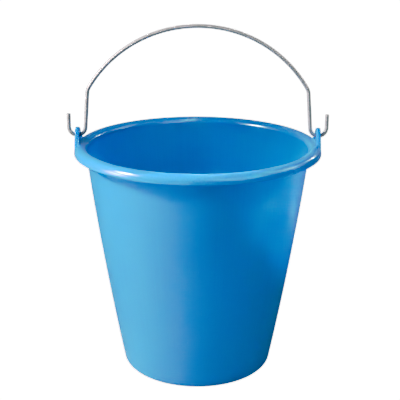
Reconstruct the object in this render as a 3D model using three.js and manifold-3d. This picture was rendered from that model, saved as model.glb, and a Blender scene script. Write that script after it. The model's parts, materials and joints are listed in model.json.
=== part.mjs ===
// A 12-litre builder's bucket: one moulded plastic shell with two lugs on its rim, and a bent wire
// bail whose ends pass through the lugs and turn up into hooks.
//
// Frame: millimetres, +Z up, origin at the centre of the circle that the bucket stands on.
// The lugs stand at +X and -X. The bail swings about the line through their holes, which is
// parallel to X, and it is drawn upright, in the plane y = 0.

import * as THREE from 'three';
import { mergeVertices } from 'three/addons/utils/BufferGeometryUtils.js';
import Module from 'manifold-3d';

const manifold = await Module();
manifold.setup();

// ---------------------------------------------------------------- driving dimensions

// Shell
const height = 292; // ground to the top of the rim
const baseRadius = 94.4; // outside of the wall, carried down to the ground
const beadCentreRadius = 144.8; // circle that the rolled rim's round section follows
const beadRadius = 8; // outside of the rolled rim
const wall = 2; // wall thickness, the same all over the moulding
const wallBulge = 2.4; // how far the wall bows out of a straight cone, halfway up
const baseCornerRadius = 8.7; // outside, between the wall and the foot ring
const floorCornerRadius = 7; // inside, between the wall and the floor
const skirtDrop = 2; // rim skirt below the centre of the rolled section, to its rounded edge
const skirtFlare = 0.4; // how far the skirt leans out on the way down

// Underside
const footRingWidth = 6; // flat ring that the bucket stands on
const baseRecess = 3; // how far the middle of the base is raised
const recessStep = 3; // width of the slope between the ring and the raised middle
const gateRadius = 4; // moulding gate at the centre of the underside
const gateDepth = 0.8;

// Lugs
const pivotRise = 8.5; // hole centre above the top of the rim
const lugRadius = 149.5; // middle of the lug at the hole, measured from the bucket's axis
const lugThickness = 5.4; // at the hole
const lugLean = 0.03; // how much the outer face leans in, as a slope
const lugTipRadius = 10; // round top of the lug, about the hole
const lugFootHalfWidth = 48; // where the lug's curved flanks run out inside the rim
const lugHoleDiameter = 6.2;
const ribThickness = 1.6; // three small ribs in the rim's channel under each lug
const ribSpacing = 20;

// Plain oval pad on the rim
const padAngle = -42; // degrees round from +X
const padWidth = 14;
const padHeight = 7.5;
const padProud = 0.6;

// Bail
const wireDiameter = 4.5;
const bendRadius = 10.2; // centreline of the turn through the lug
const hookRise = 27; // tip of the upturned end above the pivot
const kinkHalfSpan = 135.5; // each leg meets the arched grip here
const kinkRise = 56.7; // above the pivot
const gripRadius = 156.5; // centreline of the arched grip
const kinkTrim = 4; // length of each side of the kink that is rounded off

// Fineness
const roundSteps = 72; // facets round the shell
const wireSides = 8;
const wireSteps = 150;

// ---------------------------------------------------------------- worked-out sizes

const beadCentreHeight = height - beadRadius;
const channelRadius = beadRadius - wall; // hollow side of the rolled rim
const topRadius = beadCentreRadius - channelRadius; // outside of the wall at the bead's centre
const pivotHeight = height + pivotRise;
const padRadius = beadCentreRadius + beadRadius;

// ---------------------------------------------------------------- materials

const bluePlastic = new THREE.MeshStandardMaterial({ color: 0x1a86cf, roughness: 0.38, metalness: 0 });
const zincWire = new THREE.MeshStandardMaterial({ color: 0xa9a8ad, roughness: 0.35, metalness: 0.9 });

// ---------------------------------------------------------------- helpers

const radians = THREE.MathUtils.degToRad;

// Slope of the outer wall (radius gained per height) and its radius, at a given height. A positive
// inset gives the parallel surface that lies that far inside it.
function wallSlope(z) {
  return (topRadius - baseRadius + 4 * wallBulge * (1 - (2 * z) / beadCentreHeight)) / beadCentreHeight;
}

function wallRadius(z, inset = 0) {
  const t = z / beadCentreHeight;
  const outer = baseRadius + (topRadius - baseRadius) * t + 4 * wallBulge * t * (1 - t);
  return outer - inset * Math.hypot(1, wallSlope(z));
}

function wallPoints(inset, fromHeight, toHeight, steps) {
  const points = [];
  for (let i = 0; i <= steps; i++) {
    const z = THREE.MathUtils.lerp(fromHeight, toHeight, i / steps);
    points.push(new THREE.Vector2(wallRadius(z, inset), z));
  }
  return points;
}

function arcPoints(centreX, centreY, radius, fromDegrees, toDegrees, steps) {
  const points = [];
  for (let i = 0; i <= steps; i++) {
    const angle = radians(THREE.MathUtils.lerp(fromDegrees, toDegrees, i / steps));
    points.push(new THREE.Vector2(centreX + radius * Math.cos(angle), centreY + radius * Math.sin(angle)));
  }
  return points;
}

function point(x, y) {
  return new THREE.Vector2(x, y);
}

// A profile of (radius, height) points turned about Z.
function turned(profile) {
  const geometry = new THREE.LatheGeometry(profile, roundSteps);
  geometry.rotateX(Math.PI / 2);
  return geometry;
}

function toSolid(geometry) {
  const bare = geometry.index ? geometry.clone() : geometry;
  bare.deleteAttribute('normal');
  bare.deleteAttribute('uv');
  const merged = mergeVertices(bare, 1e-4);
  const index = merged.index.array;
  const triangles = [];
  for (let i = 0; i < index.length; i += 3) {
    const [a, b, c] = [index[i], index[i + 1], index[i + 2]];
    if (a !== b && b !== c && c !== a) {
      triangles.push(a, b, c);
    }
  }
  const mesh = new manifold.Mesh({
    numProp: 3,
    vertProperties: new Float32Array(merged.attributes.position.array),
    triVerts: new Uint32Array(triangles),
  });
  return new manifold.Manifold(mesh);
}

function toGeometry(solid) {
  const mesh = solid.getMesh();
  const geometry = new THREE.BufferGeometry();
  geometry.setAttribute('position', new THREE.BufferAttribute(mesh.vertProperties, 3));
  geometry.setIndex(new THREE.BufferAttribute(mesh.triVerts, 1));
  geometry.computeVertexNormals();
  return geometry;
}

function namedMesh(name, geometry, material) {
  const mesh = new THREE.Mesh(geometry, material);
  mesh.name = name;
  return mesh;
}

// ---------------------------------------------------------------- bucket

// One closed outline in (radius, height): along the underside, up the outside, over the rolled
// rim, down the inside and back along the floor to the axis.
function shellProfile() {
  const cornerTilt = THREE.MathUtils.radToDeg(Math.atan(wallSlope(0)));
  const cornerRadius = wallRadius(baseCornerRadius, baseCornerRadius);
  const floorRadius = wallRadius(wall + floorCornerRadius, wall + floorCornerRadius);
  const ringInner = cornerRadius - footRingWidth;
  const skirtBottom = beadCentreHeight - skirtDrop;
  const skirtMiddle = beadCentreRadius + beadRadius + skirtFlare - wall / 2;
  return [
    point(0, baseRecess - gateDepth),
    point(gateRadius, baseRecess - gateDepth),
    point(gateRadius, baseRecess),
    point(ringInner - recessStep, baseRecess),
    point(ringInner, 0),
    ...arcPoints(cornerRadius, baseCornerRadius, baseCornerRadius, -90, -cornerTilt, 4),
    ...wallPoints(0, 2 * baseCornerRadius, beadCentreHeight, 6),
    ...arcPoints(beadCentreRadius, beadCentreHeight, channelRadius, 180, 0, 6).slice(1),
    ...arcPoints(skirtMiddle, skirtBottom, wall / 2, 180, 360, 2),
    ...arcPoints(beadCentreRadius, beadCentreHeight, beadRadius, 0, 180, 8),
    ...wallPoints(wall, beadCentreHeight - beadRadius, 3 * baseCornerRadius, 6),
    ...arcPoints(floorRadius, wall + floorCornerRadius, floorCornerRadius, -cornerTilt, -90, 3),
    point(ringInner, wall),
    point(ringInner - recessStep, baseRecess + wall),
    point(0, baseRecess + wall),
  ];
}

// Side view of a lug in (distance from its middle, height): a round tip about the hole, and on each
// side a hollow flank, an arc that leaves the tip smoothly and runs out level inside the rim.
function lugOutline() {
  const drop = pivotHeight - beadCentreHeight;
  const flankRadius = (lugFootHalfWidth ** 2 / (drop + lugTipRadius) + drop - lugTipRadius) / 2;
  const flankHeight = beadCentreHeight + flankRadius;
  const meeting = Math.atan2(flankHeight - pivotHeight, lugFootHalfWidth);
  const down = -Math.PI / 2;
  const outline = new THREE.Shape();
  outline.moveTo(-lugFootHalfWidth, beadCentreHeight);
  outline.lineTo(lugFootHalfWidth, beadCentreHeight);
  outline.absarc(lugFootHalfWidth, flankHeight, flankRadius, down, meeting - Math.PI, true);
  outline.absarc(0, pivotHeight, lugTipRadius, meeting, Math.PI - meeting, false);
  outline.absarc(-lugFootHalfWidth, flankHeight, flankRadius, -meeting, down, true);
  return outline;
}

// A ring with the lug's section: upright inside, leaning in outside, thickest at the rim.
function lugRing() {
  const inner = lugRadius - lugThickness / 2;
  const outer = lugRadius + lugThickness / 2;
  const top = pivotHeight + lugTipRadius + wall;
  const outerAt = (z) => outer + lugLean * (pivotHeight - z);
  return turned([
    point(inner, beadCentreHeight),
    point(outerAt(beadCentreHeight), beadCentreHeight),
    point(outerAt(top), top),
    point(inner, top),
    point(inner, beadCentreHeight),
  ]);
}

// Extrudes a (y, z) outline along X between two x values.
function extrudedAlongX(outline, fromX, toX) {
  const geometry = new THREE.ExtrudeGeometry(outline, {
    depth: toX - fromX,
    bevelEnabled: false,
    curveSegments: 10,
  });
  geometry.rotateY(Math.PI / 2);
  geometry.rotateX(Math.PI / 2);
  geometry.translate(fromX, 0, 0);
  return geometry;
}

function lugs() {
  const reach = beadCentreRadius + 2 * beadRadius;
  const bothLugs = toSolid(extrudedAlongX(lugOutline(), -reach, reach));
  return toSolid(lugRing()).intersect(bothLugs);
}

function lugHoles() {
  const geometry = new THREE.CylinderGeometry(lugHoleDiameter / 2, lugHoleDiameter / 2, 4 * lugRadius, 20);
  geometry.rotateZ(Math.PI / 2);
  geometry.translate(0, 0, pivotHeight);
  return toSolid(geometry);
}

function channelRib(side, offset) {
  const length = beadRadius + channelRadius;
  const rib = new THREE.BoxGeometry(length, ribThickness, channelRadius);
  rib.translate(side * beadCentreRadius, 0, beadCentreHeight + channelRadius / 2 - skirtDrop);
  rib.rotateZ(offset / beadCentreRadius);
  return toSolid(rib);
}

function ovalPad() {
  const pad = new THREE.CylinderGeometry(0.5, 0.5, 2 * padProud + wall, 24);
  pad.scale(padWidth, 1, padHeight);
  pad.rotateZ(Math.PI / 2);
  pad.translate(padRadius + padProud - (2 * padProud + wall) / 2, 0, beadCentreHeight);
  pad.rotateZ(radians(padAngle));
  return toSolid(pad);
}

function bucketGeometry() {
  let bucket = toSolid(turned(shellProfile()));
  bucket = bucket.add(lugs());
  for (const side of [-1, 1]) {
    for (const offset of [-ribSpacing, 0, ribSpacing]) {
      bucket = bucket.add(channelRib(side, offset));
    }
  }
  bucket = bucket.add(ovalPad());
  return toGeometry(bucket.subtract(lugHoles()));
}

// ---------------------------------------------------------------- bail

// A curve drawn in (x, z) that stands in the plane y = 0.
class UprightCurve extends THREE.Curve {
  constructor(path) {
    super();
    this.path = path;
  }

  getPoint(t, target = new THREE.Vector3()) {
    const flat = this.path.getPointAt(t);
    return target.set(flat.x, 0, flat.y);
  }
}

// The wire's centreline from one hook tip to the other. Each turn through a lug is lowest on the
// pivot line, so the wire stays in its hole as the bail swings.
function bailCentreline() {
  const bendHeight = pivotHeight + bendRadius;
  const kinkHeight = pivotHeight + kinkRise;
  const hookSpan = lugRadius + bendRadius;
  const gripAngle = Math.acos(kinkHalfSpan / gripRadius);
  const gripHeight = kinkHeight - gripRadius * Math.sin(gripAngle);
  const run = lugRadius - kinkHalfSpan;
  const rise = kinkHeight - bendHeight;
  const legLean = Math.acos(bendRadius / Math.hypot(run, rise)) - Math.atan2(rise, run);
  const legTopX = kinkHalfSpan + kinkTrim * Math.sin(legLean);
  const legTopZ = kinkHeight - kinkTrim * Math.cos(legLean);
  const gripStart = gripAngle + kinkTrim / gripRadius;
  const gripEndX = gripRadius * Math.cos(gripStart);
  const gripEndZ = gripHeight + gripRadius * Math.sin(gripStart);

  const path = new THREE.Path();
  path.moveTo(-hookSpan, pivotHeight + hookRise);
  path.lineTo(-hookSpan, bendHeight);
  path.absarc(-lugRadius, bendHeight, bendRadius, Math.PI, 2 * Math.PI - legLean, false);
  path.lineTo(-legTopX, legTopZ);
  path.quadraticCurveTo(-kinkHalfSpan, kinkHeight, -gripEndX, gripEndZ);
  path.absarc(0, gripHeight, gripRadius, Math.PI - gripStart, gripStart, true);
  path.quadraticCurveTo(kinkHalfSpan, kinkHeight, legTopX, legTopZ);
  path.absarc(lugRadius, bendHeight, bendRadius, Math.PI + legLean, 2 * Math.PI, false);
  path.lineTo(hookSpan, pivotHeight + hookRise);
  return new UprightCurve(path);
}

function bailGeometry() {
  const section = new THREE.Shape();
  section.absarc(0, 0, wireDiameter / 2, 0, 2 * Math.PI, false);
  return new THREE.ExtrudeGeometry(section, {
    extrudePath: bailCentreline(),
    steps: wireSteps,
    curveSegments: wireSides / 2,
  });
}

// ---------------------------------------------------------------- assembly

const group = new THREE.Group();
group.add(namedMesh('bucket', bucketGeometry(), bluePlastic));
group.add(namedMesh('bail', bailGeometry(), zincWire));

export default group;
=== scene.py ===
# A blue builder's bucket with a wire bail, standing on a pale studio floor.
#
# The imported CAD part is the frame: sizes that it states are read from it, and the rest are named
# below. Lengths are in millimetres while a shape is worked out, and in metres once it is a mesh.

import json
import math

import bpy
import numpy as np
from mathutils import Matrix, Vector


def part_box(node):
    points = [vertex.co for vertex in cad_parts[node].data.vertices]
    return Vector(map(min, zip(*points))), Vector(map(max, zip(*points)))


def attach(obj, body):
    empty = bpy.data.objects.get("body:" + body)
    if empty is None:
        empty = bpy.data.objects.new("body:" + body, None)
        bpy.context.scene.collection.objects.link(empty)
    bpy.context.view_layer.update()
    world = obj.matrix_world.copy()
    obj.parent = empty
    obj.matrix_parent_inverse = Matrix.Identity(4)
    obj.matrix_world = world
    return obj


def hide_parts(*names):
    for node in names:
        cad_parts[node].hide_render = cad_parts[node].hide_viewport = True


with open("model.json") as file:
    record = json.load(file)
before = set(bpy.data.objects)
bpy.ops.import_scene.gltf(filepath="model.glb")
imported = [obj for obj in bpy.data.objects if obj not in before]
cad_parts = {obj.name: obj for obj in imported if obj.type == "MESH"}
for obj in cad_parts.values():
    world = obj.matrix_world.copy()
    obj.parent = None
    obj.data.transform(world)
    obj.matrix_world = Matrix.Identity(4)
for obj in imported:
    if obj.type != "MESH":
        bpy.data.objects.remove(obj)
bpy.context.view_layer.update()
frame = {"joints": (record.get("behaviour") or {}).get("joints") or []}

MM = 0.001

# ------------------------------------------------------------------ sizes read from the frame

shell_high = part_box("bucket")[1] / MM
wire_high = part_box("bail")[1] / MM
PIVOT_Z = frame["joints"][0]["pos_m"][2] / MM
LUG_TIP_RADIUS = shell_high.z - PIVOT_Z
WIRE_RADIUS = wire_high.y
HOOK_SPAN = wire_high.x - WIRE_RADIUS  # centre of each upturned end, from the middle
GRIP_TOP_Z = wire_high.z - WIRE_RADIUS

# ------------------------------------------------------------------ sizes of the shell, mm

PIVOT_RISE = 8.5  # lug holes above the top of the rim
RIM_TOP_Z = PIVOT_Z - PIVOT_RISE
BASE_RADIUS = 94.4  # outside of the wall, carried down to the ground
BEAD_RADIUS = 8.0  # round section of the rolled rim
SKIRT_FLARE = 0.4
BEAD_R = shell_high.x - SKIRT_FLARE - BEAD_RADIUS  # circle that the rolled rim follows
BEAD_Z = RIM_TOP_Z - BEAD_RADIUS
WALL = 2.0
CHANNEL_RADIUS = BEAD_RADIUS - WALL
TOP_RADIUS = BEAD_R - CHANNEL_RADIUS
WALL_BULGE = 2.4
BASE_CORNER = 8.7
FLOOR_CORNER = 7.0
SKIRT_DROP = 2.0
OUTER_WALL_LOW = 1.2 * BASE_CORNER  # the wall's own points start here, above its round corner
INNER_WALL_LOW = 2 * BASE_CORNER
INNER_WALL_HIGH = BEAD_Z - 1.5
FOOT_RING_WIDTH = 6.0
FOOT_RING_EDGE = 1.0  # rounding of its inner edge
BASE_RECESS = 3.0
RECESS_STEP = 3.0
STEP_ROUNDING = 1.5
GATE_RADIUS = 4.0
GATE_DEPTH = 0.8
GATE_ROUNDING = 0.3

# Lugs
LUG_INNER_R = 146.8
LUG_OUTER_R = 152.2  # at the hole
LUG_LEAN = 0.03
LUG_FOOT = 48.0  # half width where the flanks run out
LUG_EDGE = 1.2  # rounding of the lug's edges
LUG_FILLET = 4.5  # smooth join between the lug's inner face and the rim
LUG_OUTER_FILLET = 0.6
HOLE_RADIUS = 3.1
HOLE_LIP = 0.6  # rounding of the hole's edges
CUTTER_EXTRA = 3.0  # how far the pin that cuts the hole reaches past both faces

# Oval pad on the rim
PAD_ANGLE = math.radians(-42)
PAD_WIDTH = 14.0
PAD_HEIGHT = 7.0
PAD_PROUD = 0.55
PAD_Z = BEAD_Z + 0.4
PAD_EDGE = (0.84, 1.06)  # its edge rounds over between these shares of its half size

# Ribs in the rim's channel
RIB_THICKNESS = 1.6
RIB_TAPER = 0.8  # share of the thickness that is left at the lower edge
RIB_SPACING = 20.0

# Unevenness of the moulding, and the heights between which it fades in and out
SLOW_WAVE = 0.10
QUICK_WAVE = 0.05
WAVE_STARTS = (30, 120)
WAVE_ENDS = (BEAD_Z - 60, BEAD_Z - 20)

# Fineness of the mesh, and the angles from which an edge is shaded as sharp
RIM_ROWS = 90
WALL_ROWS = 40
PLAIN_COLUMN = math.radians(1.2)
FINE_COLUMN = math.radians(0.25)  # at the lugs and the pad
HOLE_SIDES = 48
SHELL_CREASE = math.radians(38)
WIRE_CREASE = math.radians(50)

# ------------------------------------------------------------------ sizes of the bail, mm

LUG_R = (LUG_INNER_R + LUG_OUTER_R) / 2
BEND_RADIUS = HOOK_SPAN - LUG_R
HOOK_RISE = 27.0
KINK_X = 135.5
KINK_RISE = 56.7
GRIP_RADIUS = 156.5
KINK_TRIM = 4.0
KINK_SQUEEZE = 0.05  # how much a bend flattens the wire, as a share of its radius
BEND_SQUEEZE = 0.03
CUT_ROUNDING = 0.7
WIRE_SIDES = 28

# ------------------------------------------------------------------ plane geometry helpers


def arc(centre_r, centre_z, radius, start, end, steps):
    """Points on a circle, from one angle to another in degrees, both ends included."""
    angles = np.radians(np.linspace(start, end, steps + 1))
    return np.stack([centre_r + radius * np.cos(angles), centre_z + radius * np.sin(angles)], axis=1)


def rounded(corners, steps=5, guard=0.6):
    """A polyline through (r, z, rounding) corners. Each straight run gets a point near both of its
    ends, so that smooth shading stays within the rounded corners."""
    points = [np.array(corners[0][:2])]
    for i, (r, z, rounding) in enumerate(corners):
        here = np.array([r, z])
        if i in (0, len(corners) - 1):
            points.append(here)
            continue
        before = np.array(corners[i - 1][:2]) - here
        after = np.array(corners[i + 1][:2]) - here
        before_run, after_run = np.linalg.norm(before), np.linalg.norm(after)
        before, after = before / before_run, after / after_run
        half = math.acos(np.clip(before @ after, -1, 1)) / 2
        reach = rounding / math.tan(half)
        middle = here + (before + after) / np.linalg.norm(before + after) * rounding / math.sin(half)
        start, end = here + before * reach, here + after * reach
        a0 = math.atan2(*(start - middle)[::-1])
        turn = math.atan2(*(end - middle)[::-1]) - a0
        turn = (turn + math.pi) % (2 * math.pi) - math.pi
        if before_run > reach + 3 * guard:
            points.append(start + before * guard)
        for k in range(steps + 1):
            a = a0 + turn * k / steps
            points.append(middle + rounding * np.array([math.cos(a), math.sin(a)]))
        if after_run > reach + 3 * guard:
            points.append(end + after * guard)
    return np.array(points[1:])


def wall_slope(z):
    return (TOP_RADIUS - BASE_RADIUS + 4 * WALL_BULGE * (1 - 2 * z / BEAD_Z)) / BEAD_Z


def wall_radius(z, inset=0.0):
    """Radius of the outer wall at height z, or of the parallel surface that lies inset inside it."""
    t = z / BEAD_Z
    outer = BASE_RADIUS + (TOP_RADIUS - BASE_RADIUS) * t + 4 * WALL_BULGE * t * (1 - t)
    return outer - inset * np.hypot(1, wall_slope(z))


def wall_curve(inset, z0, z1, steps):
    z = np.linspace(z0, z1, steps + 1)
    return np.stack([wall_radius(z, inset), z], axis=1)


def smooth_step(value, low, high):
    t = np.clip((value - low) / (high - low), 0, 1)
    return t * t * (3 - 2 * t)


def resample(path, count):
    """The same path with count points at equal distances."""
    lengths = np.concatenate([[0], np.cumsum(np.linalg.norm(np.diff(path, axis=0), axis=1))])
    wanted = np.linspace(0, lengths[-1], count)
    return np.stack([np.interp(wanted, lengths, path[:, k]) for k in (0, 1)], axis=1)


# ------------------------------------------------------------------ the lug's shape


def lug_outline_distance(y, z):
    """Signed distance to the lug's side view: a round tip about the hole, and hollow flanks that run
    out level inside the rim."""
    y = np.abs(y)
    drop = PIVOT_Z - BEAD_Z
    flank = (LUG_FOOT**2 / (drop + LUG_TIP_RADIUS) + drop - LUG_TIP_RADIUS) / 2
    flank_z = BEAD_Z + flank
    tip = np.hypot(y, z - PIVOT_Z) - LUG_TIP_RADIUS
    side = flank - np.hypot(y - LUG_FOOT, z - flank_z)
    foot = z - BEAD_Z
    below_tip = y * (flank_z - PIVOT_Z) > (z - PIVOT_Z) * LUG_FOOT
    return np.where(y > LUG_FOOT, foot, np.where(below_tip, side, tip))


def rim_field(r, z, y):
    """Signed distance to the rolled rim joined smoothly with the lug, where y runs along the rim."""
    bead = np.hypot(r - BEAD_R, z - BEAD_Z) - BEAD_RADIUS
    outer = LUG_OUTER_R + LUG_LEAN * (PIVOT_Z - z)
    across = np.maximum(LUG_INNER_R - r, r - outer) + LUG_EDGE
    outline = lug_outline_distance(y, z) + LUG_EDGE
    outside = np.hypot(np.maximum(across, 0), np.maximum(outline, 0))
    lug = outside + np.minimum(np.maximum(across, outline), 0) - LUG_EDGE
    blend = LUG_FILLET + (LUG_OUTER_FILLET - LUG_FILLET) * smooth_step(r, LUG_INNER_R, LUG_OUTER_R)
    near = np.maximum(blend - np.abs(bead - lug), 0) / blend
    return np.minimum(bead, lug) - near * near * blend / 4


def rim_sections(angles, count):
    """Outlines of the rim's upper side at each angle from a lug's middle, traced along the field's
    zero line from the outermost point of the rolled rim over the top to its innermost point."""
    step, nudge = 0.12, 0.01
    sines = np.sin(angles)

    def field(p):
        return rim_field(p[:, 0], p[:, 1], p[:, 0] * sines)

    def gradient(p):
        dr = field(p + [nudge, 0]) - field(p - [nudge, 0])
        dz = field(p + [0, nudge]) - field(p - [0, nudge])
        return np.stack([dr, dz], axis=1) / (2 * nudge)

    def onto_surface(p):
        for _ in range(2):
            g = gradient(p)
            p = p - g * (field(p) / np.maximum((g * g).sum(axis=1), 0.05))[:, None]
        return p

    here = np.tile([BEAD_R + BEAD_RADIUS, BEAD_Z], (len(angles), 1))
    track = [here]
    longest = math.pi * BEAD_RADIUS + 2 * (shell_high.z - RIM_TOP_Z) + BEAD_RADIUS
    for _ in range(int(longest / step)):
        g = gradient(here)
        g /= np.linalg.norm(g, axis=1)[:, None]
        here = onto_surface(here + step * np.stack([-g[:, 1], g[:, 0]], axis=1))
        track.append(here)
    track = np.array(track)
    sections = []
    for column in range(len(angles)):
        path = track[:, column]
        done = np.argmax((path[:, 0] < BEAD_R) & (path[:, 1] <= BEAD_Z))
        path = np.vstack([path[:done], [BEAD_R - BEAD_RADIUS, BEAD_Z]])
        sections.append(resample(path, count))
    return np.array(sections)


# ------------------------------------------------------------------ mesh helpers


def new_mesh_object(name, vertices, faces):
    mesh = bpy.data.meshes.new(name)
    mesh.from_pydata(vertices, [], faces)
    mesh.validate()
    mesh.shade_smooth()
    obj = bpy.data.objects.new(name, mesh)
    bpy.context.scene.collection.objects.link(obj)
    return obj


def grid_faces(columns, rows, closed_columns=True, closed_rows=False):
    """Quads of a grid stored column by column."""
    faces = []
    for c in range(columns if closed_columns else columns - 1):
        a, b = c * rows, (c + 1) % columns * rows
        for r in range(rows if closed_rows else rows - 1):
            s = (r + 1) % rows
            faces.append((a + r, b + r, b + s, a + s))
    return faces


def boolean(obj, other, operation):
    """Joins another closed mesh to obj, or cuts it out of obj, and removes the other mesh."""
    modifier = obj.modifiers.new(operation.lower(), "BOOLEAN")
    modifier.operation = operation
    modifier.object = other
    modifier.solver = "MANIFOLD"
    bpy.context.view_layer.update()
    evaluated = obj.evaluated_get(bpy.context.evaluated_depsgraph_get())
    made = bpy.data.meshes.new_from_object(evaluated)
    obj.modifiers.remove(modifier)
    obj.data = made
    bpy.data.objects.remove(other)


# ------------------------------------------------------------------ bucket


def column_angles():
    """Angles of the mesh's columns round the bucket: close together at the lugs and the pad."""
    lug_reach = math.asin((LUG_FOOT + 2) / LUG_R)
    pad_reach = 1.3 * PAD_WIDTH / 2 / BEAD_R
    zones = [(0, lug_reach), (math.pi, lug_reach), (PAD_ANGLE % (2 * math.pi), pad_reach)]
    angles, angle = [], -lug_reach
    while angle < 2 * math.pi - lug_reach - FINE_COLUMN / 2:
        angles.append(angle)
        wrapped = [abs((angle - middle + math.pi) % (2 * math.pi) - math.pi) for middle, _ in zones]
        inside = any(distance < reach for distance, (_, reach) in zip(wrapped, zones))
        angle += FINE_COLUMN if inside else PLAIN_COLUMN
    return np.array(angles)


def lower_profile():
    """Axis to the rim's outermost point: underside, foot, outer wall, channel under the rim, skirt."""
    tilt = math.degrees(math.atan(wall_slope(0)))
    corner_r = wall_radius(BASE_CORNER, BASE_CORNER)
    ring_r = corner_r - FOOT_RING_WIDTH
    skirt_z = BEAD_Z - SKIRT_DROP
    skirt_r = BEAD_R + BEAD_RADIUS + SKIRT_FLARE - WALL / 2
    gate_z = BASE_RECESS - GATE_DEPTH
    underside = rounded(
        [
            (0, gate_z, 0),
            (GATE_RADIUS, gate_z, GATE_ROUNDING),
            (GATE_RADIUS + GATE_ROUNDING, BASE_RECESS, GATE_ROUNDING),
            (ring_r - RECESS_STEP, BASE_RECESS, STEP_ROUNDING),
            (ring_r, 0, FOOT_RING_EDGE),
            (corner_r, 0, 0),
        ]
    )
    return np.vstack(
        [
            underside[:-1],
            arc(corner_r, BASE_CORNER, BASE_CORNER, -90, -tilt, 10),
            wall_curve(0, OUTER_WALL_LOW, BEAD_Z, WALL_ROWS),
            arc(BEAD_R, BEAD_Z, CHANNEL_RADIUS, 180, 0, 20)[1:],
            arc(skirt_r, skirt_z, WALL / 2, 180, 360, 8),
        ]
    )


def upper_profile():
    """The rim's innermost point down the inner wall and along the floor to the axis."""
    tilt = math.degrees(math.atan(wall_slope(0)))
    corner_r = wall_radius(BASE_CORNER, BASE_CORNER)
    ring_r = corner_r - FOOT_RING_WIDTH
    floor_r = wall_radius(WALL + FLOOR_CORNER, WALL + FLOOR_CORNER)
    floor = rounded(
        [
            (floor_r, WALL, 0),
            (ring_r, WALL, STEP_ROUNDING),
            (ring_r - RECESS_STEP, WALL + BASE_RECESS, STEP_ROUNDING),
            (0, WALL + BASE_RECESS, 0),
        ]
    )
    return np.vstack(
        [
            wall_curve(WALL, INNER_WALL_HIGH, INNER_WALL_LOW, WALL_ROWS),
            arc(floor_r, WALL + FLOOR_CORNER, FLOOR_CORNER, -tilt, -90, 10),
            floor[1:],
        ]
    )


def pad_lift(angle, section):
    """How far each point of a section is pushed out to form the oval pad."""
    across = (angle - PAD_ANGLE + math.pi) % (2 * math.pi) - math.pi
    u = across * section[:, 0] / (PAD_WIDTH / 2)
    v = (section[:, 1] - PAD_Z) / (PAD_HEIGHT / 2)
    outside = section[:, 0] > BEAD_R + WALL
    return PAD_PROUD * (1 - smooth_step(np.hypot(u, v), *PAD_EDGE)) * outside


def moulding_wave(angle, z):
    """The slight unevenness of a large thin moulding, in mm of radius: none at the base and the rim."""
    height = z / RIM_TOP_Z
    slow = SLOW_WAVE * np.sin(3 * angle + 1.3 + 2.1 * height) * height
    quick = QUICK_WAVE * np.sin(7 * angle + 4 * height)
    off_base = smooth_step(z, *WAVE_STARTS)
    off_rim = 1 - smooth_step(z, *WAVE_ENDS)
    return (slow + quick) * off_base * off_rim


def bucket_shell():
    lower, upper = lower_profile(), upper_profile()
    plain_rim = arc(BEAD_R, BEAD_Z, BEAD_RADIUS, 0, 180, RIM_ROWS - 1)
    angles = column_angles()
    from_lug = (angles + math.pi / 2) % math.pi - math.pi / 2
    at_lug = np.abs(from_lug) < math.asin(LUG_FOOT / LUG_R)
    rims = np.tile(plain_rim, (len(angles), 1, 1))
    rims[at_lug] = rim_sections(from_lug[at_lug], RIM_ROWS)
    vertices = []
    for angle, rim in zip(angles, rims):
        section = np.vstack([lower[1:], rim[1:], upper[:-1]])
        section[:, 0] += pad_lift(angle, section)
        section[:, 0] += moulding_wave(angle, section[:, 1])
        r, z = section.T
        vertices.append(np.stack([r * math.cos(angle), r * math.sin(angle), z], axis=1))
    rows = len(vertices[0])
    columns = len(vertices)
    points = np.vstack(vertices + [[[0, 0, lower[0, 1]], [0, 0, upper[-1, 1]]]]) * MM
    faces = grid_faces(columns, rows)
    under, top = columns * rows, columns * rows + 1
    for c in range(columns):
        d = (c + 1) % columns
        faces.append((under, d * rows, c * rows))
        faces.append((top, c * rows + rows - 1, d * rows + rows - 1))
    return new_mesh_object("bucket_moulding", points.tolist(), faces)


def lug_hole_cutter(side):
    """A pin across one lug, flared at both faces, so that the hole's edges come out rounded."""
    inner, outer = LUG_INNER_R, LUG_OUTER_R
    wide = HOLE_RADIUS + HOLE_LIP
    profile = np.vstack(
        [
            [(inner - CUTTER_EXTRA, wide)],
            arc(inner + HOLE_LIP, wide, HOLE_LIP, 180, 270, 6),
            arc(outer - HOLE_LIP, wide, HOLE_LIP, 270, 360, 6),
            [(outer + CUTTER_EXTRA, wide)],
        ]
    )
    vertices = []
    for k in range(HOLE_SIDES):
        a = 2 * math.pi * k / HOLE_SIDES
        for x, radius in profile:
            y, z = radius * math.cos(a), PIVOT_Z + radius * math.sin(a)
            vertices.append(Vector((side * x, y, z)) * MM)
    rows = len(profile)
    faces = grid_faces(HOLE_SIDES, rows)
    faces.append(tuple(k * rows for k in range(HOLE_SIDES)))
    faces.append(tuple(k * rows + rows - 1 for k in reversed(range(HOLE_SIDES))))
    if side > 0:
        faces = [face[::-1] for face in faces]
    return new_mesh_object("lug_hole", vertices, faces)


def channel_rib(side, offset):
    """One small rib across the hollow of the rolled rim, slightly thinner at its lower edge."""
    low, high = BEAD_Z - SKIRT_DROP, BEAD_Z + WALL
    inner, outer = BEAD_R - CHANNEL_RADIUS - WALL / 2, BEAD_R + CHANNEL_RADIUS + WALL / 2
    turn = Matrix.Rotation(offset / BEAD_R + (0 if side > 0 else math.pi), 3, "Z")
    vertices = []
    for z, half in ((low, RIB_THICKNESS / 2 * RIB_TAPER), (high, RIB_THICKNESS / 2)):
        for r, y in ((inner, -half), (outer, -half), (outer, half), (inner, half)):
            vertices.append(turn @ Vector((r, y, z)) * MM)
    faces = [(3, 2, 1, 0), (4, 5, 6, 7), (0, 1, 5, 4), (1, 2, 6, 5), (2, 3, 7, 6), (3, 0, 4, 7)]
    return new_mesh_object("rib", vertices, faces)


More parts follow.
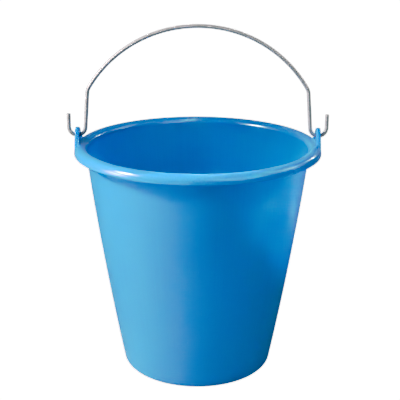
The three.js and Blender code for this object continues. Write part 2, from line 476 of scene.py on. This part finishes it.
def build_bucket():
    bucket = bucket_shell()
    bucket.data.materials.append(blue_plastic())
    for side in (-1, 1):
        boolean(bucket, lug_hole_cutter(side), "DIFFERENCE")
        for offset in (-RIB_SPACING, 0, RIB_SPACING):
            boolean(bucket, channel_rib(side, offset), "UNION")
    bucket.data.name = "bucket_moulding"
    bucket.data.shade_smooth()
    bucket.data.set_sharp_from_angle(angle=SHELL_CREASE)
    return bucket


# ------------------------------------------------------------------ bail


def bail_centreline():
    """(x, z) points and squeeze values from one hook tip to the other. A bent stretch is squeezed
    slightly in the plane of its bend."""
    bend_z = PIVOT_Z + BEND_RADIUS
    kink_z = PIVOT_Z + KINK_RISE
    grip_angle = math.acos(KINK_X / GRIP_RADIUS)
    grip_z = GRIP_TOP_Z - GRIP_RADIUS
    run, rise = LUG_R - KINK_X, kink_z - bend_z
    lean = math.acos(BEND_RADIUS / math.hypot(run, rise)) - math.atan2(rise, run)
    leg_top = np.array([KINK_X + KINK_TRIM * math.sin(lean), kink_z - KINK_TRIM * math.cos(lean)])
    grip_start = math.degrees(grip_angle + KINK_TRIM / GRIP_RADIUS)
    grip = arc(0, grip_z, GRIP_RADIUS, 90, grip_start, 90)
    kink = np.array([KINK_X, kink_z])
    t = np.linspace(0, 1, 12)[1:-1, None]
    turn = (1 - t) ** 2 * grip[-1] + 2 * t * (1 - t) * kink + t**2 * leg_top
    bend = arc(LUG_R, bend_z, BEND_RADIUS, 180 + math.degrees(lean), 360, 40)
    leg = leg_top + (bend[0] - leg_top) * np.linspace(0, 1, 16)[:-1, None]
    hook_tip = np.array([HOOK_SPAN, PIVOT_Z + HOOK_RISE])
    hook = bend[-1] + (hook_tip - bend[-1]) * np.linspace(0, 1, 6)[1:, None]
    right = np.vstack([grip, turn, leg, bend, hook])
    stretches = ((grip, 0), (turn, KINK_SQUEEZE), (leg, 0), (bend, BEND_SQUEEZE), (hook, 0))
    squeeze = np.concatenate([np.full(len(part), amount) for part, amount in stretches])
    left = right[:0:-1] * [-1, 1]
    return np.vstack([left, right]), np.concatenate([squeeze[:0:-1], squeeze])


def build_bail():
    """Round wire swept along its centreline, with its cut ends slightly rounded over. The squeeze is
    averaged over 7 rings, so that it comes and goes gradually."""
    path, squeeze = bail_centreline()
    squeeze = np.convolve(np.pad(squeeze, 3, mode="edge"), np.ones(7) / 7, mode="valid")
    ahead = np.gradient(path, axis=0)
    ahead /= np.linalg.norm(ahead, axis=1)[:, None]
    inward = np.stack([-ahead[:, 1], ahead[:, 0]], axis=1)
    cut = CUT_ROUNDING
    ends = arc(0, 0, cut, 0, 90, 5)
    rings = []
    for depth, lift in zip(cut - ends[:, 1][::-1], ends[:, 0][::-1]):
        rings.append((path[0] + ahead[0] * depth, inward[0], WIRE_RADIUS - cut + lift, 0))
    for k in range(1, len(path) - 1):
        rings.append((path[k], inward[k], WIRE_RADIUS, squeeze[k]))
    for depth, lift in zip(cut - ends[:, 1], ends[:, 0]):
        rings.append((path[-1] - ahead[-1] * depth, inward[-1], WIRE_RADIUS - cut + lift, 0))
    vertices, lay = [], []
    along, last_middle = 0.0, rings[0][0]
    for middle, normal, radius, pinch in rings:
        along += np.linalg.norm(middle - last_middle)
        last_middle = middle
        for k in range(WIRE_SIDES):
            a = 2 * math.pi * k / WIRE_SIDES
            offset = normal * radius * (1 - pinch) * math.cos(a)
            place = Vector((middle[0] + offset[0], radius * math.sin(a), middle[1] + offset[1]))
            vertices.append(place * MM)
            lay += [WIRE_RADIUS * math.cos(a), WIRE_RADIUS * math.sin(a), along]
    faces = grid_faces(len(rings), WIRE_SIDES, closed_columns=False, closed_rows=True)
    faces = [face[::-1] for face in faces]
    faces.append(tuple(range(WIRE_SIDES)))
    last = (len(rings) - 1) * WIRE_SIDES
    faces.append(tuple(last + k for k in reversed(range(WIRE_SIDES))))
    bail = new_mesh_object("bail_wire", vertices, faces)
    bail.data.attributes.new(LAY, "FLOAT_VECTOR", "POINT").data.foreach_set("vector", lay)
    bail.data.materials.append(zinc_wire())
    bail.data.set_sharp_from_angle(angle=WIRE_CREASE)
    return bail


# ------------------------------------------------------------------ materials

LAY = "lay"  # across the wire in two directions and along it, in mm

# Colours. The blues have nearly the same red, because the display curve is steep in the dark reds.
DEEP_BLUE = (0.0755, 0.213, 0.520, 1)
CLEAR_BLUE = (0.076, 0.225, 0.538, 1)
PALE_BLUE = (0.0765, 0.240, 0.555, 1)
SCUFFED_BLUE = (0.0765, 0.26, 0.56, 1)
RUBBED_GREY = (0.10, 0.16, 0.26, 1)
DULL_ZINC = (0.345, 0.30, 0.30, 1)
CLEAN_ZINC = (0.41, 0.355, 0.36, 1)
STAINED_ZINC = (0.29, 0.245, 0.24, 1)

# Plastic. Scales of the patterns are per metre, and heights and sizes in metres.
CLOUD_SCALE = 14
RIPPLE_SCALE = 45
PEEL_SCALE = 380
WORN_SCALE = 420
SCUFF_PATCH_SCALE = 20
PLASTIC_ROUGHNESS = 0.205  # above 0.27 in all, the denoiser leaves hard-edged blotches
RIPPLE_HEIGHT = 0.0002
PEEL_HEIGHT = 0.00002
DRAG_HEIGHT = 0.000004
SCUFF_DEPTH = 0.00001
DRAG_SIZE = (0.02, 0.02, 0.25)  # on a circle of one metre radius
SCUFF_SIZE = (0.0025, 0.0025, 0.03)
SCUFF_FADE_HEIGHT = 0.12
SCUFF_TILTS = ((50, 25, 10), (-35, 60, 70))
TRANSLUCENCE = 0.9
LIGHT_REACH = 0.012
LIGHT_REACH_RGB = (0.5, 0.8, 1.0)
RUB_NEAR, RUB_FAR = 0.0035, 0.0075  # from the middle of the lug holes
PLASTIC_IOR = 1.5

# Wire
MOTTLE_SCALE = 160
STAIN_SCALE = 22
WIRE_ROUGHNESS = 0.42
WIRE_METAL = 0.6  # the rest is dull oxide
DIE_LINE_SIZE = (0.35, 0.35, 40)  # mm
PLATING_HEIGHT = 0.000002
POLISH_NEAR, POLISH_FAR = 0.006, 0.011


def new_material(name):
    material = bpy.data.materials.new(name)
    material.use_nodes = True
    nodes = material.node_tree.nodes
    nodes.clear()
    output = nodes.new("ShaderNodeOutputMaterial")
    shader = nodes.new("ShaderNodeBsdfPrincipled")
    material.node_tree.links.new(shader.outputs["BSDF"], output.inputs["Surface"])
    return material, shader


def node(material, kind, inputs=None, **settings):
    made = material.node_tree.nodes.new(kind)
    for key, value in settings.items():
        setattr(made, key, value)
    for key, value in (inputs or {}).items():
        if hasattr(value, "links"):
            material.node_tree.links.new(value, made.inputs[key])
        else:
            made.inputs[key].default_value = value
    return made


def noise(material, vector, scale, detail=2.0):
    inputs = {"Vector": vector, "Scale": scale, "Detail": detail}
    return node(material, "ShaderNodeTexNoise", inputs).outputs["Fac"]


def streaks(material, vector, size, tilt=(0, 0, 0)):
    """Noise whose features have this size along three axes, which may be tilted (in degrees)."""
    inputs = {"Vector": vector, "Scale": size, "Rotation": [math.radians(a) for a in tilt]}
    drawn = node(material, "ShaderNodeMapping", inputs, vector_type="TEXTURE").outputs["Vector"]
    return noise(material, drawn, 1.0)


def mapped(material, value, from_low, from_high, to_low=0.0, to_high=1.0):
    inputs = {0: value, 1: from_low, 2: from_high, 3: to_low, 4: to_high}
    return node(material, "ShaderNodeMapRange", inputs).outputs["Result"]


def maths(material, operation, a, b):
    return node(material, "ShaderNodeMath", {0: a, 1: b}, operation=operation).outputs["Value"]


def added(material, start, *amounts):
    """A value plus several (value, weight) pairs."""
    for value, weight in amounts:
        start = maths(material, "ADD", start, maths(material, "MULTIPLY", value, weight))
    return start


def mixed(material, factor, a, b):
    return node(material, "ShaderNodeMix", {0: factor, 6: a, 7: b}, data_type="RGBA").outputs[2]


def bumped(material, shader, *layers):
    """Gives a shader one bump for each (height value, full height in metres)."""
    normal = None
    for value, full_height in layers:
        inputs = {"Height": value, "Distance": full_height, "Strength": 1.0}
        if normal:
            inputs["Normal"] = normal
        normal = node(material, "ShaderNodeBump", inputs).outputs["Normal"]
    material.node_tree.links.new(normal, shader.inputs["Normal"])


def on_drum(material, place):
    """The place with its distance from the bucket's axis taken out, so that a pattern made from it
    runs straight down the wall: a circle of one metre radius, and the height unchanged."""
    flat = node(material, "ShaderNodeVectorMath", {0: place, 1: (1, 1, 0)}, operation="MULTIPLY")
    circle = node(material, "ShaderNodeVectorMath", {0: flat.outputs[0]}, operation="NORMALIZE")
    high = node(material, "ShaderNodeVectorMath", {0: place, 1: (0, 0, 1)}, operation="MULTIPLY")
    both = {0: circle.outputs[0], 1: high.outputs[0]}
    return node(material, "ShaderNodeVectorMath", both, operation="ADD").outputs[0]


def scuff_marks(material, place):
    """Hazy patches of rubbed scratches in two directions, more of them low on the wall."""
    patches = mapped(material, noise(material, place, SCUFF_PATCH_SCALE, 1), 0.5, 0.85)
    height = node(material, "ShaderNodeSeparateXYZ", {0: place}).outputs["Z"]
    low = mapped(material, height, 0.0, SCUFF_FADE_HEIGHT, 1.0, 0.45)
    marks = None
    for tilt in SCUFF_TILTS:
        lines = mapped(material, streaks(material, place, SCUFF_SIZE, tilt), 0.45, 0.8)
        marks = lines if marks is None else maths(material, "MAXIMUM", marks, lines)
    return maths(material, "MULTIPLY", maths(material, "MULTIPLY", marks, patches), low)


def near_pivot(material, place, near, far):
    """1 on the line through the lug holes out to the near distance, falling to 0 at the far one."""
    moved = {0: place, 1: (0, 0, PIVOT_Z * MM)}
    from_pivot = node(material, "ShaderNodeVectorMath", moved, operation="SUBTRACT").outputs[0]
    across = {0: from_pivot, 1: (0, 1, 1)}
    flat = node(material, "ShaderNodeVectorMath", across, operation="MULTIPLY").outputs[0]
    length = node(material, "ShaderNodeVectorMath", {0: flat}, operation="LENGTH").outputs["Value"]
    return mapped(material, length, near, far, 1.0, 0.0)


def blue_plastic():
    """Moulded polyethylene, slightly translucent: cloudy colour, faint drag lines from the mould, a
    little ripple and orange peel, scuffs, and grey rubbing round the lug holes."""
    material, shader = new_material("blue_plastic")
    link = material.node_tree.links.new
    place = node(material, "ShaderNodeTexCoord").outputs["Object"]
    cloud = mapped(material, noise(material, place, CLOUD_SCALE, 4), 0.3, 0.7)
    drag = streaks(material, on_drum(material, place), DRAG_SIZE)
    scuff = scuff_marks(material, place)
    worn = mapped(material, noise(material, place, WORN_SCALE, 3), 0.35, 0.75)
    rub = maths(material, "MULTIPLY", near_pivot(material, place, RUB_NEAR, RUB_FAR), worn)
    colour = mixed(material, cloud, DEEP_BLUE, CLEAR_BLUE)
    colour = mixed(material, mapped(material, drag, 0.3, 0.8, 0.0, 0.4), colour, PALE_BLUE)
    colour = mixed(material, maths(material, "MULTIPLY", scuff, 0.5), colour, SCUFFED_BLUE)
    colour = mixed(material, maths(material, "MULTIPLY", rub, 0.55), colour, RUBBED_GREY)
    link(colour, shader.inputs["Base Color"])
    rougher = ((cloud, 0.035), (drag, 0.01), (scuff, 0.02), (rub, 0.15))
    link(added(material, PLASTIC_ROUGHNESS, *rougher), shader.inputs["Roughness"])
    shader.inputs["IOR"].default_value = PLASTIC_IOR
    shader.inputs["Subsurface Weight"].default_value = TRANSLUCENCE
    shader.inputs["Subsurface Radius"].default_value = LIGHT_REACH_RGB
    shader.inputs["Subsurface Scale"].default_value = LIGHT_REACH
    ripple = (noise(material, place, RIPPLE_SCALE, 1), RIPPLE_HEIGHT)
    peel = (noise(material, place, PEEL_SCALE, 1), PEEL_HEIGHT)
    bumped(material, shader, ripple, (drag, DRAG_HEIGHT), peel, (scuff, -SCUFF_DEPTH))
    return material


def zinc_wire():
    """Zinc-plated drawn steel: fine lines left by the die, mottled plating, brighter where the wire
    turns in the lugs."""
    material, shader = new_material("zinc_wire")
    link = material.node_tree.links.new
    place = node(material, "ShaderNodeTexCoord").outputs["Object"]
    lay = node(material, "ShaderNodeAttribute", attribute_name=LAY).outputs["Vector"]
    lines = streaks(material, lay, DIE_LINE_SIZE)
    mottle = mapped(material, noise(material, place, MOTTLE_SCALE, 4), 0.35, 0.65)
    stain = mapped(material, noise(material, place, STAIN_SCALE, 3), 0.5, 0.75)
    polish = near_pivot(material, place, POLISH_NEAR, POLISH_FAR)
    colour = mixed(material, mottle, DULL_ZINC, CLEAN_ZINC)
    colour = mixed(material, maths(material, "MULTIPLY", stain, 0.5), colour, STAINED_ZINC)
    link(colour, shader.inputs["Base Color"])
    shader.inputs["Metallic"].default_value = WIRE_METAL
    rougher = ((mottle, 0.05), (lines, 0.05), (stain, 0.05), (polish, -0.1))
    link(added(material, WIRE_ROUGHNESS, *rougher), shader.inputs["Roughness"])
    bumped(material, shader, (lines, PLATING_HEIGHT), (mottle, PLATING_HEIGHT))
    return material


# ------------------------------------------------------------------ studio

SCENE_MIDDLE = Vector((0, 0, 0.5 * shell_high.z * MM))
FLOOR_REACH = 6.0
FLOOR_GREY = 0.35
FLOOR_ROUGHNESS = 0.9
WORLD_LIGHT = 0.19
WORLD_REFLECTION = 0.4

# Camera, in metres and radians
CAMERA_DISTANCE = 1.1374
CAMERA_HEIGHT = 0.5774
CAMERA_PITCH = 0.30748
CAMERA_YAW = 0.0027
CAMERA_ROLL = 0.0048
CAMERA_LENS = 84.5  # mm
SENSOR_WIDTH = 36.0  # mm

# Lights: azimuth and elevation in degrees, distance and sides in metres, power in watts
KEY_AZIMUTH = -78
KEY_ELEVATION = 36
LIGHTS = [
    ("key", KEY_AZIMUTH, KEY_ELEVATION, 3.0, (0.4, 0.4), 132),
    ("left_low", -76, 3, 2.5, (0.7, 0.3), 60),
    ("front_left", -42, 45, 2.5, (0.8, 0.6), 48),
    ("right", 98, 35, 2.5, (0.9, 0.9), 19),
    ("front", 32, 22, 2.5, (0.9, 0.9), 13),
    ("back", 135, 20, 3.0, (0.1, 0.3), 10),
]

# The first two give light without being reflected. The sparkle is seen only as a reflection, in the
# wire and on the left of the rim.
NOT_REFLECTED = ("key", "front_left")
SPARKLE = ("sparkle", -71, 31, 2.5, (0.15, 0.12), 140)

# Lights with a grid in front, each on one small place: radius, angle from the front and height of
# the place in mm, then the light, the spread of its beam in degrees, and whether it is only seen as
# a reflection (or else only as light on the surface)
GRIDDED_LIGHTS = [
    (BEAD_R, 0, RIM_TOP_Z, ("near_rim", 5, 74, 2.5, (0.1, 0.1), 0.12), 6, False),
    (TOP_RADIUS, 160, 0.75 * RIM_TOP_Z, ("back_inside", -20, 55, 2.0, (0.1, 0.1), 0.02), 6, False),
    (TOP_RADIUS, 66, 0.86 * RIM_TOP_Z, ("right_wall", 85, 15, 2.0, (0.1, 0.1), 0.035), 3.5, False),
    (BEAD_R, -172, RIM_TOP_Z, ("back_rim_left", 30, 68, 2.5, (0.15, 0.1), 0.15), 4, True),
]

# The card that shades the far half, in metres from the rim
FLAG_EDGE = -6.0  # mm behind the middle of the rim
FLAG_DISTANCE = 0.5
FLAG_REACH = 0.6
FLAG_BLACK = 0.02

# Display brightness for a few scene brightnesses: a slide-film curve with a soft toe and shoulder.
CURVE_TOP = 1.85
TONE_POINTS = [
    (0.05, 0.001),
    (0.12, 0.062),
    (0.3, 0.222),
    (0.6, 0.488),
    (1.0, 0.65),
    (1.5, 0.84),
]
RED_POINTS = [(0.09, 0.035), (0.17, 0.14), (0.3, 0.22), (0.5, 0.45)]  # dark red is lost
SHOWN_WHITE = 1.9  # past the top of the curve, so it is pure white


def direction(azimuth, elevation):
    """Unit vector towards a light. Azimuth is in degrees from the front, positive to the right."""
    turn, rise = math.radians(azimuth), math.radians(elevation)
    return Vector((math.sin(turn) * math.cos(rise), -math.cos(turn) * math.cos(rise), math.sin(rise)))


def area_light(name, azimuth, elevation, distance, size, power, target=SCENE_MIDDLE):
    data = bpy.data.lights.new(name, "AREA")
    data.shape = "RECTANGLE"
    data.size, data.size_y = size
    data.energy = power
    light = bpy.data.objects.new(name, data)
    away = direction(azimuth, elevation)
    light.location = target + away * distance
    light.rotation_mode = "QUATERNION"
    light.rotation_quaternion = away.to_track_quat("Z", "Y")
    bpy.context.scene.collection.objects.link(light)
    return light


def build_flag():
    """An opaque card that the camera does not see. It keeps the key light off the far half of the
    bucket: its straight edge lies along the light's direction."""
    toward_key = direction(KEY_AZIMUTH, KEY_ELEVATION)
    backward = toward_key.cross(Vector((0, 0, 1))).normalized()
    if backward.y < 0:
        backward.negate()
    upward = toward_key.cross(backward)
    rim_left = Vector((-BEAD_R, FLAG_EDGE, RIM_TOP_Z)) * MM
    corner = rim_left + toward_key * FLAG_DISTANCE
    vertices = []
    for across, along in ((0, -1), (1, -1), (1, 1), (0, 1)):
        vertices.append(corner + (backward * across + upward * along) * FLAG_REACH)
    flag = new_mesh_object("flag_card", vertices, [(0, 1, 2, 3)])
    flag.visible_camera = False
    flag.visible_diffuse = False
    flag.visible_glossy = False
    material, shader = new_material("black_card")
    shader.inputs["Base Color"].default_value = (FLAG_BLACK, FLAG_BLACK, FLAG_BLACK, 1)
    flag.data.materials.append(material)


def ray_mix(material, kind, plain, special):
    """A shader that is replaced by another one for one kind of ray."""
    tree = material.node_tree
    chosen = tree.nodes.new("ShaderNodeLightPath").outputs[kind]
    mix = tree.nodes.new("ShaderNodeMixShader")
    tree.links.new(chosen, mix.inputs[0])
    tree.links.new(plain, mix.inputs[1])
    tree.links.new(special, mix.inputs[2])
    return mix.outputs[0]


def build_floor():
    """A pale floor that the camera sees as white from above and looks through from below."""
    reach = FLOOR_REACH
    corners = [(-reach, -reach, 0), (reach, -reach, 0), (reach, reach, 0), (-reach, reach, 0)]
    floor = new_mesh_object("studio_floor", corners, [(0, 1, 2, 3)])
    material, shader = new_material("pale_floor")
    shader.inputs["Base Color"].default_value = (FLOOR_GREY, FLOOR_GREY, FLOOR_GREY, 1)
    shader.inputs["Roughness"].default_value = FLOOR_ROUGHNESS
    glow = node(material, "ShaderNodeEmission", {"Color": (1, 1, 1, 1), "Strength": SHOWN_WHITE})
    clear = node(material, "ShaderNodeBsdfTransparent")
    from_below = node(material, "ShaderNodeNewGeometry").outputs["Backfacing"]
    sides = {0: from_below, 1: glow.outputs[0], 2: clear.outputs[0]}
    shown = node(material, "ShaderNodeMixShader", sides)
    output = material.node_tree.nodes["Material Output"]
    seen = ray_mix(material, "Is Camera Ray", shader.outputs[0], shown.outputs[0])
    material.node_tree.links.new(seen, output.inputs["Surface"])
    floor.data.materials.append(material)


def build_world():
    """Dim light from all round, a brighter one for reflections, and white for the camera."""
    world = bpy.data.worlds.new("studio")
    bpy.context.scene.world = world
    world.use_nodes = True
    nodes = world.node_tree.nodes
    shown = nodes["Background"].outputs[0]
    nodes["Background"].inputs["Color"].default_value = (1, 1, 1, 1)
    nodes["Background"].inputs["Strength"].default_value = WORLD_LIGHT
    for kind, strength in (("Is Glossy Ray", WORLD_REFLECTION), ("Is Camera Ray", SHOWN_WHITE)):
        special = nodes.new("ShaderNodeBackground")
        special.inputs["Strength"].default_value = strength
        special.inputs["Color"].default_value = (1, 1, 1, 1)
        shown = ray_mix(world, kind, shown, special.outputs[0])
    world.node_tree.links.new(shown, nodes["World Output"].inputs["Surface"])


def build_camera():
    """The camera stands in front and above, level but for a slight roll."""
    data = bpy.data.cameras.new("camera")
    data.sensor_width = SENSOR_WIDTH
    data.lens = CAMERA_LENS
    camera = bpy.data.objects.new("camera", data)
    stand = Matrix.Translation((0, -CAMERA_DISTANCE, CAMERA_HEIGHT))
    tilt = Matrix.Rotation(math.pi / 2 - CAMERA_PITCH, 4, "X")
    roll = Matrix.Rotation(CAMERA_ROLL, 4, "Z")
    camera.matrix_world = stand @ Matrix.Rotation(-CAMERA_YAW, 4, "Z") @ tilt @ roll
    bpy.context.scene.collection.objects.link(camera)
    bpy.context.scene.camera = camera


def shape_curve(curve, points):
    """Gives a tone curve these points between its two ends."""
    points = [(0.0, 0.0)] + points + [(1.0, 1.0)]
    while len(curve.points) < len(points):
        curve.points.new(0.5, 0.5)
    for point, place in zip(curve.points, points):
        point.location = place
        point.handle_type = "AUTO_CLAMPED"


def set_tone():
    view = bpy.context.scene.view_settings
    view.view_transform = "Standard"
    view.use_curve_mapping = True
    mapping = view.curve_mapping
    mapping.white_level = (CURVE_TOP, CURVE_TOP, CURVE_TOP)
    red, _, _, combined = mapping.curves
    shape_curve(red, [(bright / CURVE_TOP, kept / CURVE_TOP) for bright, kept in RED_POINTS])
    shape_curve(combined, [(bright / CURVE_TOP, shown) for bright, shown in TONE_POINTS])
    mapping.update()


def build_studio():
    build_floor()
    build_world()
    build_camera()
    build_flag()
    for light in LIGHTS:
        area_light(*light)
    for name in NOT_REFLECTED:
        bpy.data.objects[name].visible_glossy = False
    area_light(*SPARKLE).visible_diffuse = False
    for radius, angle, high, light, spread, is_shine in GRIDDED_LIGHTS:
        place = direction(angle, 0) * radius + Vector((0, 0, high))
        gridded = area_light(*light, target=place * MM)
        gridded.data.spread = math.radians(spread)
        gridded.visible_glossy = is_shine
        gridded.visible_diffuse = not is_shine
    set_tone()


# ------------------------------------------------------------------ assembly

bucket = build_bucket()
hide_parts("bucket")
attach(bucket, "bucket")

bail = build_bail()
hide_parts("bail")
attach(bail, "bail")

build_studio()
